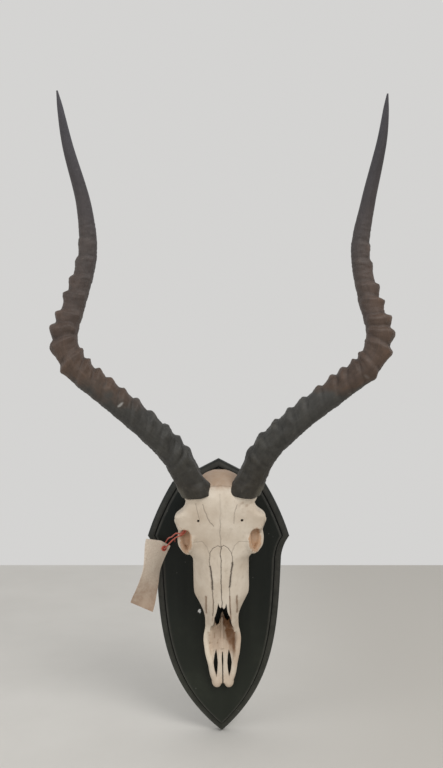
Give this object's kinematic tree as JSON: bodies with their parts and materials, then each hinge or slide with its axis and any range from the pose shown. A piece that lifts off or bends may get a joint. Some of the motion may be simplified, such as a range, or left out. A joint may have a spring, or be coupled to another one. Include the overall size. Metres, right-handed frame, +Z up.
{
  "type": "impala skull with horns on a shield plaque",
  "caption": "Upper skull of an impala ram with ringed lyre-shaped horns, fixed to a moulded dark wooden wall shield, with a blank card label on a red string.",
  "frame": {"origin": "middle of the shield's flat back face, where it meets the wall", "axes": "+Y into the wall, +Z up the wall along the skull and horns, +X to the viewer's right"},
  "size_m": [0.3584, 0.196, 0.7089],
  "materials": {
    "painted_wood": "nearly black green satin paint, worn along the edges",
    "bone": "dry cream bone, browner in its hollows",
    "horn": "dark satin horn, redder in the middle",
    "card": "aged matte card",
    "red_string": "dull red cotton"
  },
  "bodies": {
    "root": {"shield": "painted_wood", "skull": "bone", "horn_left": "horn", "horn_right": "horn", "tag": "card", "string": "red_string"}
  },
  "joints": []
}
